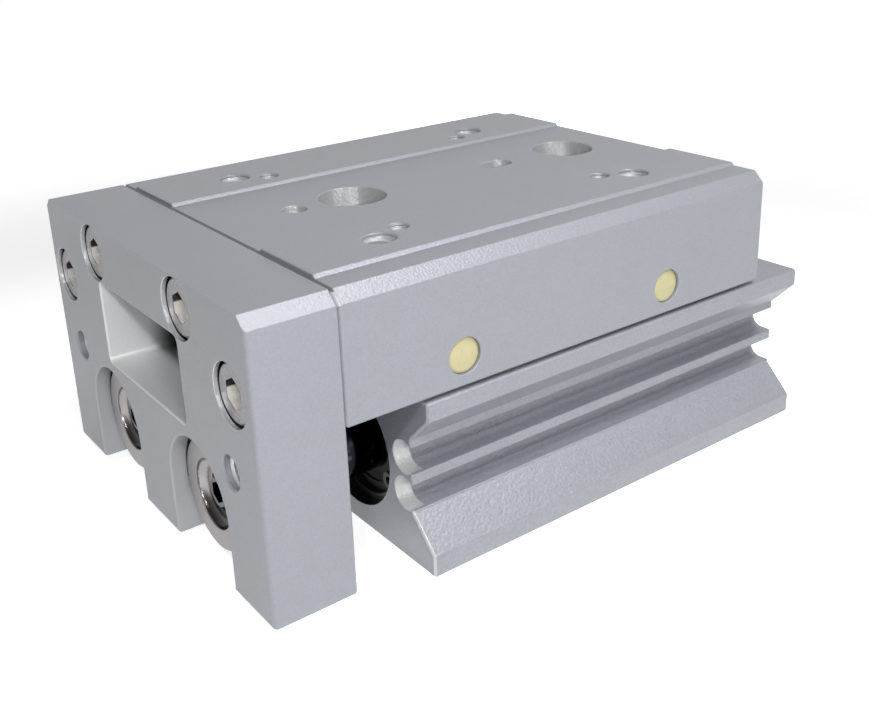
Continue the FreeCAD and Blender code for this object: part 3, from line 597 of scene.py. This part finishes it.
def body_aluminium():
    """Blasted, with front edges and groove mouths partly rubbed bright and partly given a painted
    highlight, and nearly black bores.
    """
    finish = blasted_finish("blasted_body", grain=0.4, spread=0.36, depth=0.075)
    turned = finish.group(ring_group)
    # Front edges and groove mouths: partly rubbed bright, partly a painted highlight
    wear_and_highlight = finish.both_true(finish.near(turned["Along"], BODY_FRONT - 0.17 * MM, 0.15 * MM),
                            finish.less(turned["Up"], WEAR_AND_HIGHLIGHT_HEIGHT - BORE_HEIGHT))
    mouth = finish.near(turned["Along"], BODY_FRONT - GROOVE_MOUTH / 2, 1.2 * MM)
    for height in GROOVE_HEIGHTS:
        groove = finish.group(ring_group, Line=GROOVE_LINE, Height=height)
        flare = finish.both_true(mouth, finish.less(groove["Radius"], GROOVE_FLARE))
        flare = finish.both_true(flare, finish.less(groove["Across"], GROOVE_LIP))
        wear_and_highlight = finish.either(wear_and_highlight, flare)
    finish.mix_colour(wear_and_highlight, colours().wear_and_highlight)
    finish.mix_roughness(wear_and_highlight, 0.34)
    # Nearly black inside the bores
    bore = finish.less(turned["Radius"], BORE_RADIUS + 0.04 * MM)
    finish.mix_colour(bore, colours().bore)
    finish.mix_roughness(bore, 0.3)
    finish.mix_own("Coat Weight", bore, 0.03)
    return finish.material


def cut_aluminium():
    """Bright cut threads."""
    return Finish("cut_aluminium", colours().cut_aluminium, metallic=0.6, grain=0.12, spread=0.06,
                  smooth=0.24, rough=0.34, depth=0.004).material


def stainless_screws():
    """Mottled forged heads whose sockets are bright, with painted shade over their upper halves."""
    finish = Finish("stainless_screws", colours().screws, metallic=1.0, grain=0.5, spread=0.8, smooth=0.20,
                    rough=0.44, depth=0.09)
    first, second = [finish.group(ring_group, Line=y, Height=z, Pitch=0.35 * MM) for y, z in PLATE_SCREWS]
    nearer = finish.less(first["Radius"], second["Radius"])
    finish.add_height(finish.choose(nearer, first["Rings"], second["Rings"]), 0.15)
    socket = finish.less(first["Along"], SCREW_FRONT - 0.1 * MM)
    finish.mix_colour(socket, colours().sockets)
    finish.mix_roughness(socket, 0.3)
    finish.mix_own("Metallic", socket, 0.15)
    # Painted shade over the upper half of each socket
    up = finish.choose(nearer, first["Up"], second["Up"])
    upper = finish.step(up, 0.1 * MM, 0.4 * MM)
    finish.mix_colour(finish.both_true(socket, upper), colours().joint)
    return finish.material


def stainless_rod_ends():
    """Matte turned rim round a bright dish, with a painted dark reflection on its lower part."""
    finish = Finish("stainless_rod_ends", colours().rod_ends, metallic=1.0, grain=0.2, spread=0.06,
                    smooth=0.46, rough=0.56, depth=0.012)
    turned = finish.group(ring_group, Pitch=0.16 * MM)
    dish = finish.less(turned["Radius"], DISH_RADIUS)
    finish.mix_roughness(dish, 0.2)
    # Painted dark reflection on the dish's lower part
    low = finish.step(turned["Up"], -1.2 * MM, -3.2 * MM)
    finish.mix_colour(finish.both_true(dish, low), colours().painted_darkness)
    finish.add_height(turned["Rings"], 0.35)
    return finish.material


def hardened_steel():
    """Ground along the slide's travel."""
    finish = Finish("ground_steel", colours().hardened, metallic=1.0, grain=0.15, spread=0.05, smooth=0.16,
                    rough=0.28, depth=0.003)
    finish.add_height(finish.group(line_group, Spacing=0.12 * MM)["Lines"], 1.0)
    return finish.material


def dark_steel():
    """Oxide black, a little oily."""
    return Finish("oxide_black_steel", colours().dark_steel, metallic=0.6, grain=0.2, spread=0.2,
                  smooth=0.34, rough=0.5, depth=0.008).material


def chromed_steel():
    """Polished chromed steel with the finest turning marks, its tone painted dark as shade."""
    return turned_finish("chromed_rods", colours().chrome_in_painted_shade, pitch=0.1, weight=0.2, metallic=1.0, grain=0.1,
                         spread=0.03, smooth=0.07, rough=0.16, depth=0.001)


def dark_anodised():
    """Turned covers, anodised dark."""
    return turned_finish("dark_anodised_covers", colours().dark_anodised, pitch=0.22, weight=0.6,
                         metallic=0.3, grain=0.18, spread=0.15, smooth=0.38, rough=0.5, depth=0.006)


def spring_steel():
    """Phosphated spring steel."""
    return Finish("phosphated_spring_steel", colours().spring, metallic=0.9, grain=0.16, spread=0.2,
                  smooth=0.28, rough=0.42, depth=0.006).material


def cast_alloy():
    """Turned faces on a cast alloy."""
    return turned_finish("turned_cast_alloy", colours().alloy, pitch=0.25, weight=0.4, metallic=1.0,
                         grain=0.4, spread=0.1, smooth=0.3, rough=0.44, depth=0.01)


def black_rubber():
    """Moulded seal rubber."""
    return Finish("seal_rubber", colours().rubber, metallic=0.0, grain=0.3, spread=0.3, smooth=0.5,
                  rough=0.68, depth=0.01).material


def grey_urethane():
    """Cast bumper urethane."""
    return Finish("bumper_urethane", colours().urethane, metallic=0.0, grain=0.5, spread=0.08, smooth=0.36,
                  rough=0.5, depth=0.006).material


def bronze():
    """Sintered bronze with open pores."""
    return Finish("sintered_bronze", colours().bronze, metallic=1.0, grain=0.25, spread=0.25, smooth=0.34,
                  rough=0.52, depth=0.02).material


def cage_resin():
    """Moulded cage resin."""
    return Finish("cage_resin", colours().cage, metallic=0.0, grain=0.6, spread=0.05, smooth=0.36,
                  rough=0.46, depth=0.006).material


def bonded_magnet():
    """Dark grains in a binder."""
    return Finish("bonded_magnet", colours().magnet, metallic=0.2, grain=0.15, spread=0.5, smooth=0.5,
                  rough=0.7, depth=0.012).material


def sealing_resin():
    """Cast resin that lets a little light in, with a cloudy tone."""
    finish = Finish("cast_sealing_resin", colours().plug, metallic=0.0, grain=0.9, spread=0.14, smooth=0.30,
                    rough=0.46, depth=0.03)
    finish.shader.inputs["Subsurface Weight"].default_value = 0.35
    finish.shader.inputs["Subsurface Radius"].default_value = (1.0, 0.8, 0.35)
    finish.shader.inputs["Subsurface Scale"].default_value = 0.6 * MM
    return finish.material


# Modelling by edit-mode operators


def only(piece):
    """Select one object alone and make it active."""
    if bpy.context.mode != "OBJECT":
        bpy.ops.object.mode_set(mode="OBJECT")
    bpy.ops.object.select_all(action="DESELECT")
    piece.select_set(True)
    bpy.context.view_layer.objects.active = piece


def edit(piece, kind="EDGE"):
    """Open a piece in edit mode with nothing selected; gives its mesh."""
    only(piece)
    bpy.ops.object.mode_set(mode="EDIT")
    bpy.ops.mesh.select_mode(type=kind)
    bpy.ops.mesh.select_all(action="DESELECT")
    return bmesh.from_edit_mesh(piece.data)


def close_edit(piece):
    bpy.ops.object.mode_set(mode="OBJECT")
    return piece


def merged_copy(node, name):
    """A copy of a CAD node with its triangles merged into flat faces."""
    piece = bpy.data.objects.new(name, NODES[node].data.copy())
    bpy.context.scene.collection.objects.link(piece)
    edit(piece)
    bpy.ops.mesh.select_all(action="SELECT")
    bpy.ops.mesh.customdata_custom_splitnormals_clear()
    bpy.ops.mesh.remove_doubles(threshold=WELD)
    bpy.ops.mesh.dissolve_limited(angle_limit=FLAT_ANGLE)
    return close_edit(piece)


def widen_hole(piece, axis, centre, radius, wanted):
    """Scale the wall of a round hole about its line; centre has the two places across the axis."""
    mesh = edit(piece, "VERT")
    across = [k for k in range(3) if k != axis]
    found = 0
    for vertex in mesh.verts:
        away = math.hypot(vertex.co[across[0]] - centre[0], vertex.co[across[1]] - centre[1])
        if abs(away - radius) < ON_WALL:
            vertex.select_set(True)
            found += 1
    if not found:
        raise RuntimeError(f"{piece.name} has no hole of radius {radius:.5f} at {centre}")
    mesh.select_flush_mode()
    middle = Vector((0.0, 0.0, 0.0))
    factor = Vector((1.0, 1.0, 1.0))
    for place, k in zip(centre, across):
        middle[k] = place
        factor[k] = wanted / radius
    bpy.ops.transform.resize(value=factor, center_override=middle)
    close_edit(piece)


def sharp(edge):
    """A convex edge between two faces that meet at a wide enough angle."""
    return len(edge.link_faces) == 2 and edge.calc_face_angle_signed(0.0) > SHARP_ANGLE


def round_edges(piece, width, wanted, segments=2):
    """Bevel the convex edges that the test wants."""
    mesh = edit(piece)
    chosen = [edge for edge in mesh.edges if sharp(edge) and wanted(edge)]
    if not chosen:
        raise RuntimeError(f"{piece.name} has no such edges to round")
    for edge in chosen:
        edge.select_set(True)
    mesh.select_flush_mode()
    bpy.ops.mesh.bevel(offset=width, segments=segments, affect="EDGES", clamp_overlap=False)
    close_edit(piece)


def everywhere(edge):
    return True


def mark_sharp(piece, wanted):
    """Keep the shading crisp along the edges that the test wants."""
    mesh = edit(piece)
    for edge in mesh.edges:
        if wanted(edge):
            edge.select_set(True)
    mesh.select_flush_mode()
    bpy.ops.mesh.mark_sharp()
    close_edit(piece)


def round_groove_end(edge):
    """Where a switch groove's flared mouth runs out into the groove."""
    mouth_end = BODY_FRONT - GROOVE_MOUTH
    places = [vertex.co for vertex in edge.verts]
    return all(abs(place.x - mouth_end) < TOUCHING and place.y > GROOVE_SIDE for place in places)


def round_plate_opening(edge):
    """On the end plate's front face, round its window or a rod slot."""
    first, second = [vertex.co for vertex in edge.verts]
    if min(first.x, second.x) < PLATE_FRONT - TOUCHING:
        return False
    middle = (first + second) / 2
    in_window = abs(middle.y) < WINDOW_SIDE + NEAR and WINDOW_FLOOR - NEAR < middle.z < WINDOW_TOP + NEAR
    beside_rod = abs(abs(middle.y) - BORE_LINE) < SLOT_RADIUS + NEAR
    in_slot = beside_rod and PLATE_BOTTOM + 0.05 * MM < middle.z < SLOT_CROWN + NEAR
    return in_window or in_slot


def finish_piece(piece, material, body, slot, *nodes):
    """Shade a piece, give it its material and place it in the frame."""
    only(piece)
    piece.data.materials.clear()
    piece.data.materials.append(material)
    bpy.ops.object.shade_smooth_by_angle(angle=SMOOTH_ANGLE)
    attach(piece, body)
    if nodes:
        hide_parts(*nodes)


def keep_flat(piece):
    """Let large flat faces rule the shading, so that no line runs from hole to hole."""
    only(piece)
    weigh = piece.modifiers.new("Weigh", "WEIGHTED_NORMAL")
    weigh.keep_sharp = True
    bpy.ops.object.modifier_apply(modifier="Weigh")


def thread_coil(root, crest, pitch, span):
    """Helical thread ridge about +Z, from z = 0 to about span, closed at both ends."""
    bpy.ops.object.select_all(action="DESELECT")
    bpy.ops.mesh.primitive_plane_add(size=1.0, rotation=(math.pi / 2, 0.0, 0.0))
    bpy.ops.object.transform_apply(location=True, rotation=True, scale=True)
    coil = bpy.context.object
    foot = root + RIDGE_SINK
    edit(coil)
    bpy.ops.mesh.select_all(action="SELECT")
    bpy.ops.transform.resize(value=(foot - crest, 1.0, FOOT_SHARE * pitch))
    bpy.ops.transform.translate(value=((foot + crest) / 2, 0.0, pitch / 2))
    mesh = edit(coil, "VERT")
    for vertex in mesh.verts:
        vertex.select_set(vertex.co.x < (foot + crest) / 2)
    mesh.select_flush_mode()
    bpy.ops.transform.resize(value=(1.0, 1.0, CREST_SHARE), center_override=(crest, 0.0, pitch / 2))
    bpy.ops.mesh.select_all(action="SELECT")
    bpy.ops.mesh.delete(type="ONLY_FACE")
    close_edit(coil)
    turn = coil.modifiers.new("Turn", "SCREW")
    turn.axis = "Z"
    turn.screw_offset = pitch
    turn.iterations = max(1, int(span / pitch) - 1)
    turn.steps = TURN_STEPS
    turn.render_steps = TURN_STEPS
    bpy.ops.object.modifier_apply(modifier="Turn")
    edit(coil)
    bpy.ops.mesh.select_all(action="SELECT")
    bpy.ops.mesh.fill_holes(sides=4)
    bpy.ops.mesh.select_all(action="SELECT")
    bpy.ops.mesh.normals_make_consistent(inside=False)
    return close_edit(coil)


def place_coils(name, coil, places, material, body):
    """Copy a thread coil to each place, then remove the pattern."""
    for number, place in enumerate(places, 1):
        piece = bpy.data.objects.new(f"{name}_{number}", coil.data.copy())
        bpy.context.scene.collection.objects.link(piece)
        piece.data.transform(place)
        finish_piece(piece, material, body, "anodised_aluminium")
    bpy.data.objects.remove(coil)


def dress(material, *nodes):
    """Give CAD nodes a material in their own slots."""
    for node in nodes:
        for slot in NODES[node].material_slots:
            slot.material = material


def both(name):
    """The names of a left and a right node."""
    return [f"{name}_{side}" for side in SIDES]


# Operators, one for each piece or group of like pieces


class MakeBody(bpy.types.Operator):
    """Body extrusion with rounded edges and threaded ports"""

    bl_idname = "slide_table.make_body"
    bl_label = "Body"

    def execute(self, context):
        size = sizes()
        piece = merged_copy("body", "body_extrusion")
        for place in PORTS:
            widen_hole(piece, 1, place, PORT_HOLE_RADIUS, size.port_thread_major + WALL_GAP)
        mark_sharp(piece, round_groove_end)
        round_edges(piece, size.body_edge, everywhere, 1)
        finish_piece(piece, body_aluminium(), "body", "anodised_aluminium", "body")
        return {"FINISHED"}


class MakeTable(bpy.types.Operator):
    """Sliding table with rounded edges and holes opened for their threads"""

    bl_idname = "slide_table.make_table"
    bl_label = "Table"

    def execute(self, context):
        size = sizes()
        piece = merged_copy("table", "sliding_table")
        for place in WORK_THREADS:
            widen_hole(piece, 2, place, WORK_HOLE_RADIUS, size.work_thread_major + WALL_GAP)
        round_edges(piece, size.table_edge, everywhere, 1)
        finish_piece(piece, table_aluminium(), "table", "anodised_aluminium", "table")
        keep_flat(piece)
        return {"FINISHED"}


class MakeEndPlate(bpy.types.Operator):
    """End plate with a broken-edged window and slots"""

    bl_idname = "slide_table.make_end_plate"
    bl_label = "End plate"

    def execute(self, context):
        size = sizes()
        piece = merged_copy("end_plate", "front_end_plate")
        for place in PLATE_THREADS:
            widen_hole(piece, 0, place, WORK_HOLE_RADIUS, size.work_thread_major + WALL_GAP)
        round_edges(piece, size.window_edge, round_plate_opening, 2)
        round_edges(piece, size.plate_edge, lambda edge: not round_plate_opening(edge), 1)
        finish_piece(piece, plate_aluminium(), "table", "anodised_aluminium", "end_plate")
        return {"FINISHED"}


class MakeThreads(bpy.types.Operator):
    """Helical threads in the work holes, the end plate's holes, the ports and the rail screws' holes"""

    bl_idname = "slide_table.make_threads"
    bl_label = "Threads"

    def execute(self, context):
        size = sizes()
        material = cut_aluminium()
        work = (size.work_thread_major, size.work_thread_minor, size.work_thread_pitch)
        port = (size.port_thread_major, size.port_thread_minor, size.port_thread_pitch)
        rail = (RAIL_HOLE_RADIUS, size.rail_thread_minor, size.rail_thread_pitch)
        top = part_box("table")[1].z
        screw_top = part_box("rail_screws")[1].z
        along_x = Matrix.Rotation(math.pi / 2, 4, "Y")
        along_y = Matrix.Rotation(math.pi / 2, 4, "X")
        places = [Matrix.Translation((x, y, top - WORK_START)) for x, y in WORK_THREADS]
        place_coils("work_thread", thread_coil(*work, WORK_RUN), places, material, "table")
        places = [Matrix.Translation((PLATE_FRONT - PLATE_START, y, z)) @ along_x for y, z in PLATE_THREADS]
        place_coils("plate_thread", thread_coil(*work, PLATE_RUN), places, material, "table")
        places = [Matrix.Translation((x, PORT_WALL + PORT_START, z)) @ along_y for x, z in PORTS]
        place_coils("port_thread", thread_coil(*port, PORT_RUN), places, material, "body")
        run = top - RAIL_HEAD - screw_top
        places = [Matrix.Translation((x, y, screw_top + RAIL_FOOT)) for x, y in RAIL_THREADS]
        place_coils("rail_thread", thread_coil(*rail, run), places, material, "table")
        return {"FINISHED"}


class MakePlateScrews(bpy.types.Operator):
    """Stainless socket screws of the end plate"""

    bl_idname = "slide_table.make_plate_screws"
    bl_label = "End plate screws"

    def execute(self, context):
        piece = merged_copy("end_plate_screws", "plate_socket_screws")
        round_edges(piece, sizes().steel_edge, everywhere, 1)
        finish_piece(piece, stainless_screws(), "table", "stainless_steel", "end_plate_screws")
        return {"FINISHED"}


class MakeRodEnds(bpy.types.Operator):
    """Dished rod ends in the end plate's slots"""

    bl_idname = "slide_table.make_rod_ends"
    bl_label = "Rod ends"

    def execute(self, context):
        material = stainless_rod_ends()
        for side in SIDES:
            piece = merged_copy(f"rod_end_{side}", f"dished_rod_end_{side}")
            round_edges(piece, sizes().steel_edge, everywhere, 1)
            finish_piece(piece, material, "table", "stainless_steel", f"rod_end_{side}")
        return {"FINISHED"}


class MakePlugs(bpy.types.Operator):
    """Cast resin plugs over the preload screws, with soft rims"""

    bl_idname = "slide_table.make_plugs"
    bl_label = "Cast plugs"

    def execute(self, context):
        piece = merged_copy("preload_plugs", "cast_plugs")
        round_edges(piece, sizes().plug_edge, everywhere)
        finish_piece(piece, sealing_resin(), "table", "sealing_resin", "preload_plugs")
        return {"FINISHED"}


class DressGuide(bpy.types.Operator):
    """Finishes of the crossed-roller guide"""

    bl_idname = "slide_table.dress_guide"
    bl_label = "Roller guide"

    def execute(self, context):
        dress(hardened_steel(), "guide_block", *both("rail"), *both("rollers"))
        dress(cage_resin(), *both("roller_cage"))
        dress(dark_steel(), "guide_block_screws", "rail_screws", "cage_stop_screws", "preload_screws",
              *both("piston_nut"))
        return {"FINISHED"}


class DressCylinders(bpy.types.Operator):
    """Finishes of what is in the two cylinders"""

    bl_idname = "slide_table.dress_cylinders"
    bl_label = "Cylinders"

    def execute(self, context):
        dress(chromed_steel(), *both("piston_rod"))
        dress(dark_anodised(), *both("rod_cover"))
        dress(spring_steel(), *both("front_circlip"), *both("rear_circlip"))
        dress(cast_alloy(), *both("piston"), *both("head_cap"))
        dress(black_rubber(), *both("rod_seal"), *both("rod_cover_o_ring"), *both("head_cap_o_ring"),
              *both("piston_seal"))
        dress(grey_urethane(), *both("front_bumper"), *both("rear_bumper"))
        dress(bronze(), *both("rod_bush"))
        dress(bonded_magnet(), *both("piston_magnet"))
        return {"FINISHED"}


def seen_rays(tree):
    """1 for camera, glossy and transmission rays."""
    path = tree.nodes.new("ShaderNodeLightPath").outputs
    both_rays = maths(tree, "MAXIMUM", path["Is Camera Ray"], path["Is Glossy Ray"])
    return maths(tree, "MAXIMUM", both_rays, path["Is Transmission Ray"])


def area_lamp(name, place, width, watts):
    """Square soft lamp at a place, turned to the object."""
    bpy.ops.object.select_all(action="DESELECT")
    turn = (Vector(AIM) - Vector(place)).to_track_quat("-Z", "Y").to_euler()
    bpy.ops.object.light_add(type="AREA", location=place, rotation=turn)
    lamp = bpy.context.object
    lamp.name = name
    lamp.data.size = width
    lamp.data.energy = watts


class MakeStage(bpy.types.Operator):
    """Pale floor, soft lamps, white surroundings and the camera"""

    bl_idname = "slide_table.make_stage"
    bl_label = "Stage"

    def execute(self, context):
        scene = context.scene
        scene.view_settings.view_transform = "Standard"
        self.make_floor()
        self.make_world(scene)
        for name, place, width, setting in LAMPS:
            area_lamp(name, place, width, getattr(studio(), setting))
        bpy.ops.object.camera_add(location=studio().camera_place, rotation=studio().camera_turn)
        camera = context.object
        camera.name = "photo_camera"
        camera.data.lens = studio().lens
        camera.data.shift_y = studio().rise
        camera.data.clip_start = 0.005
        scene.camera = camera
        return {"FINISHED"}

    def make_floor(self):
        bpy.ops.object.select_all(action="DESELECT")
        bpy.ops.mesh.primitive_plane_add(size=12.0, location=(0.0, 0.0, -0.1 * MM))
        bpy.ops.object.transform_apply(location=True, rotation=True, scale=True)
        floor = bpy.context.object
        floor.name = "studio_floor"
        material = bpy.data.materials.new("pale_floor")
        material.use_nodes = True
        tree = material.node_tree
        shader = tree.nodes["Principled BSDF"]
        shader.inputs["Base Color"].default_value = (*colours().floor, 1.0)
        shader.inputs["Roughness"].default_value = 0.9
        shader.inputs["Specular IOR Level"].default_value = 0.0
        glow = tree.nodes.new("ShaderNodeEmission")
        strength = maths(tree, "MULTIPLY", seen_rays(tree), self.floor_glow(tree))
        tree.links.new(strength, glow.inputs["Strength"])
        joined = tree.nodes.new("ShaderNodeAddShader")
        tree.links.new(shader.outputs["BSDF"], joined.inputs[0])
        tree.links.new(glow.outputs["Emission"], joined.inputs[1])
        tree.links.new(joined.outputs["Shader"], tree.nodes["Material Output"].inputs["Surface"])
        floor.data.materials.append(material)

    def floor_glow(self, tree):
        """Weakest a little way off, where the lamps reach, and white far from the object."""
        away = tree.nodes.new("ShaderNodeVectorMath")
        away.operation = "LENGTH"
        tree.links.new(object_place(tree), away.inputs[0])
        return maths(tree, "ADD", *[smooth_step(tree, away.outputs["Value"], *step) for step in FLOOR_GLOW])

    def make_world(self, scene):
        world = scene.world or bpy.data.worlds.new("studio")
        scene.world = world
        world.use_nodes = True
        tree = world.node_tree
        background = tree.nodes["Background"]
        background.inputs["Color"].default_value = (1.0, 1.0, 1.0, 1.0)
        glow = maths(tree, "MULTIPLY", seen_rays(tree), self.sky_glow(tree))
        tree.links.new(glow, background.inputs["Strength"])

    def sky_glow(self, tree):
        """White at the horizon, dimmer above it and dimmest overhead."""
        axes = tree.nodes.new("ShaderNodeSeparateXYZ")
        tree.links.new(object_place(tree), axes.inputs["Vector"])
        return maths(tree, "ADD", *[smooth_step(tree, axes.outputs["Z"], *step) for step in SKY_GLOW])


class SlideTablePanel(bpy.types.Panel):
    """Lists the operators of the slide table"""

    bl_idname = "VIEW3D_PT_slide_table"
    bl_label = "Slide Table"
    bl_space_type = "VIEW_3D"
    bl_region_type = "UI"
    bl_category = "Slide Table"

    def draw(self, context):
        for operator in OPERATORS:
            self.layout.operator(operator.bl_idname)


GROUPS = (
    (SlideTableSizes, "slide_table_sizes"),
    (SlideTableColours, "slide_table_colours"),
    (SlideTableStudio, "slide_table_studio"),
)
OPERATORS = (MakeBody, MakeTable, MakeEndPlate, MakeThreads, MakePlateScrews, MakeRodEnds, MakePlugs,
             DressGuide, DressCylinders, MakeStage)


def register():
    for group, name in GROUPS:
        bpy.utils.register_class(group)
        setattr(bpy.types.Scene, name, PointerProperty(type=group))
    for operator in OPERATORS:
        bpy.utils.register_class(operator)
    bpy.utils.register_class(SlideTablePanel)


def unregister():
    bpy.utils.unregister_class(SlideTablePanel)
    for operator in reversed(OPERATORS):
        bpy.utils.unregister_class(operator)
    for group, name in reversed(GROUPS):
        delattr(bpy.types.Scene, name)
        bpy.utils.unregister_class(group)


def main():
    register()
    for operator in OPERATORS:
        make = operator.bl_idname.split(".")[1]
        getattr(bpy.ops.slide_table, make)()


if __name__ == "__main__":
    main()
